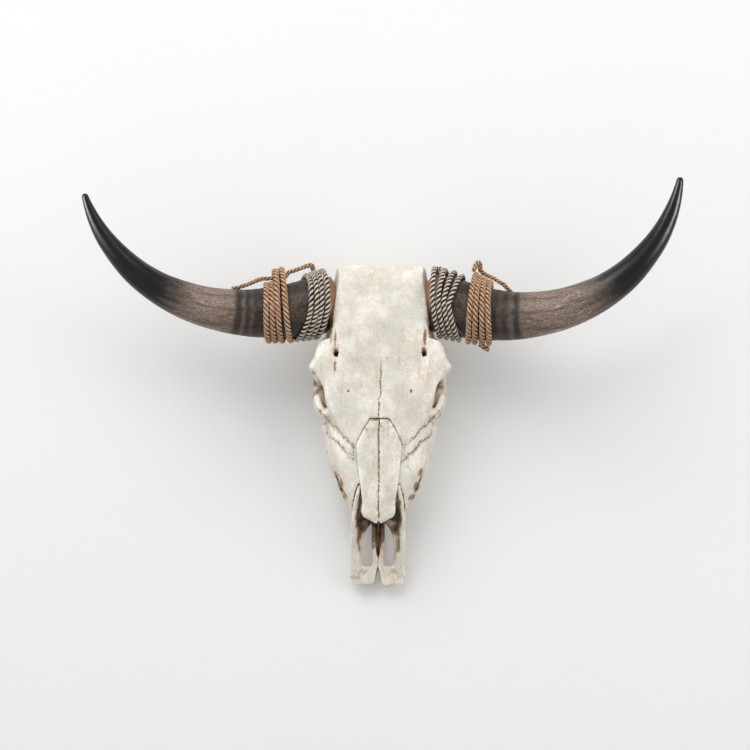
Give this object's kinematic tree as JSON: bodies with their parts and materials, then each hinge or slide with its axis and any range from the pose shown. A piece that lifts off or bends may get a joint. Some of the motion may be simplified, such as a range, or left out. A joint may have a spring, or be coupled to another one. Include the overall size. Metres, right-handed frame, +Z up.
{
  "type": "longhorn steer skull with roped horns",
  "caption": "Horned steer skull without its lower jaw, with two-tone cord and jute rope wound round the base of both horns; a wall or table decoration.",
  "frame": {"origin": "on the surface that the skull rests on, under the middle of its bounding box", "axes": "+X from the horn tip on the viewer's left to the other, +Y from the muzzle towards the poll, +Z up, out of the forehead"},
  "size_m": [0.9484, 0.6298, 0.2588],
  "materials": {
    "bone": "dry weathered bone, ivory with brown stain in its hollows",
    "muzzle_bone": "dry bone, a little darker and rougher",
    "horn": "natural horn sheath, polished, dark with a paler middle",
    "accent_cord": "twisted cord, cream and black strands",
    "jute": "twisted jute rope"
  },
  "bodies": {
    "root": {"frontal": "bone", "braincase": "bone", "occipital": "bone", "lacrimal_left": "bone", "lacrimal_right": "bone", "zygomatic_left": "bone", "zygomatic_right": "bone", "maxilla_left": "bone", "maxilla_right": "bone", "nasal_left": "bone", "nasal_right": "bone", "premaxilla_left": "muzzle_bone", "premaxilla_right": "muzzle_bone", "horn_left": "horn", "horn_right": "horn", "accent_cord_left": "accent_cord", "accent_cord_right": "accent_cord", "jute_wrap_left": "jute", "jute_wrap_right": "jute", "jute_tail_left": "jute", "jute_loop_right": "jute"}
  },
  "joints": []
}
